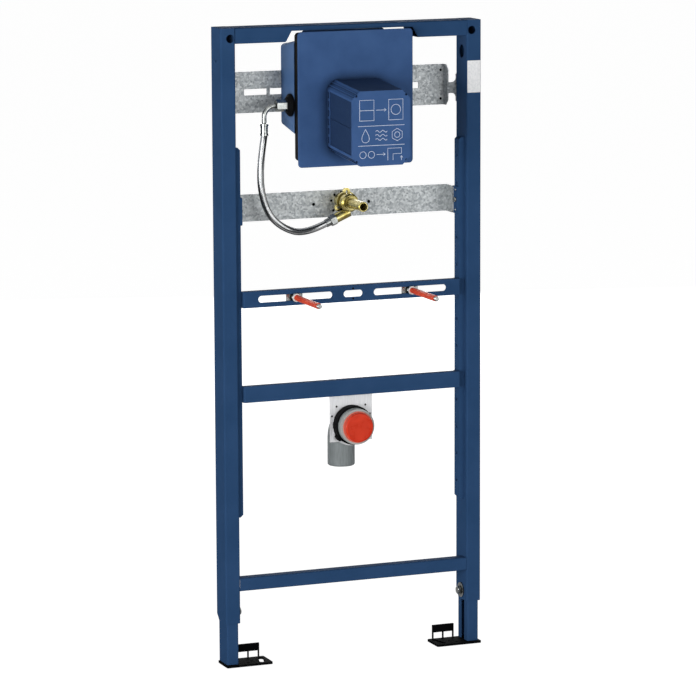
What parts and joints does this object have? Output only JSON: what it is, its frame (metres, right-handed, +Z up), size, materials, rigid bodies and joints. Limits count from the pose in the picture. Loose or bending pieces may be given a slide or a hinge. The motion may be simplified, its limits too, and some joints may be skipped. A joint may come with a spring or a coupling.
{
  "type": "urinal installation frame",
  "caption": "Blue steel wall frame on telescopic feet that carries a urinal's flush box, braided water hose, brass outlet, slotted stud bar and drain elbow.",
  "frame": {"origin": "on the floor under the middle of the object's box", "axes": "+X to the right of a person facing the frame, +Y to the wall behind, +Z up"},
  "size_m": [0.5, 0.223, 1.152],
  "materials": {
    "frame_paint": "satin powder coat",
    "galvanised": "spangled zinc",
    "zinc": "bright zinc",
    "box_plastic": "fine-grained",
    "black_rubber": "matt",
    "brass": "as cast and turned",
    "braid": "braided wire",
    "sleeve_plastic": "smooth",
    "cap_plastic": "smooth",
    "pipe_plastic": "smooth",
    "foot_paint": "black coat"
  },
  "bodies": {
    "frame": {"top_bar": "frame_paint", "bottom_bar": "frame_paint", "stud_bar": "frame_paint", "drain_bar": "frame_paint", "upper_plate": "galvanised", "water_plate": "galvanised", "box_body": "box_plastic", "box_membrane": "black_rubber", "cover_plate": "box_plastic", "hood": "box_plastic", "brass_fitting": "brass", "hose_nut": "zinc", "hose": "braid", "hose_ferrule": "zinc", "hose_elbow": "zinc", "elbow_nut": "zinc", "hose_grommet": "black_rubber", "drain_bracket": "galvanised", "drain_seal": "black_rubber", "drain_elbow": "pipe_plastic", "drain_cap": "cap_plastic", "left_post": "frame_paint", "left_rail": "frame_paint", "left_rail_clip": "frame_paint", "left_stud": "zinc", "left_stud_plate": "zinc", "left_stud_nut": "zinc", "left_stud_sleeve": "sleeve_plastic", "left_clamp_bolt": "zinc", "right_post": "frame_paint", "right_rail": "frame_paint", "right_rail_clip": "frame_paint", "right_stud": "zinc", "right_stud_plate": "zinc", "right_stud_nut": "zinc", "right_stud_sleeve": "sleeve_plastic", "right_clamp_bolt": "zinc"},
    "left_foot": {"left_leg": "frame_paint", "left_foot_plate": "foot_paint"},
    "right_foot": {"right_leg": "frame_paint", "right_foot_plate": "foot_paint"}
  },
  "joints": [
    {"name": "left_foot_slide", "type": "slide", "parent": "frame", "child": "left_foot", "axis": [0, 0, -1], "range_m": [-0.04, 0.15]},
    {"name": "right_foot_slide", "type": "slide", "parent": "frame", "child": "right_foot", "axis": [0, 0, -1], "range_m": [-0.04, 0.15]}
  ]
}
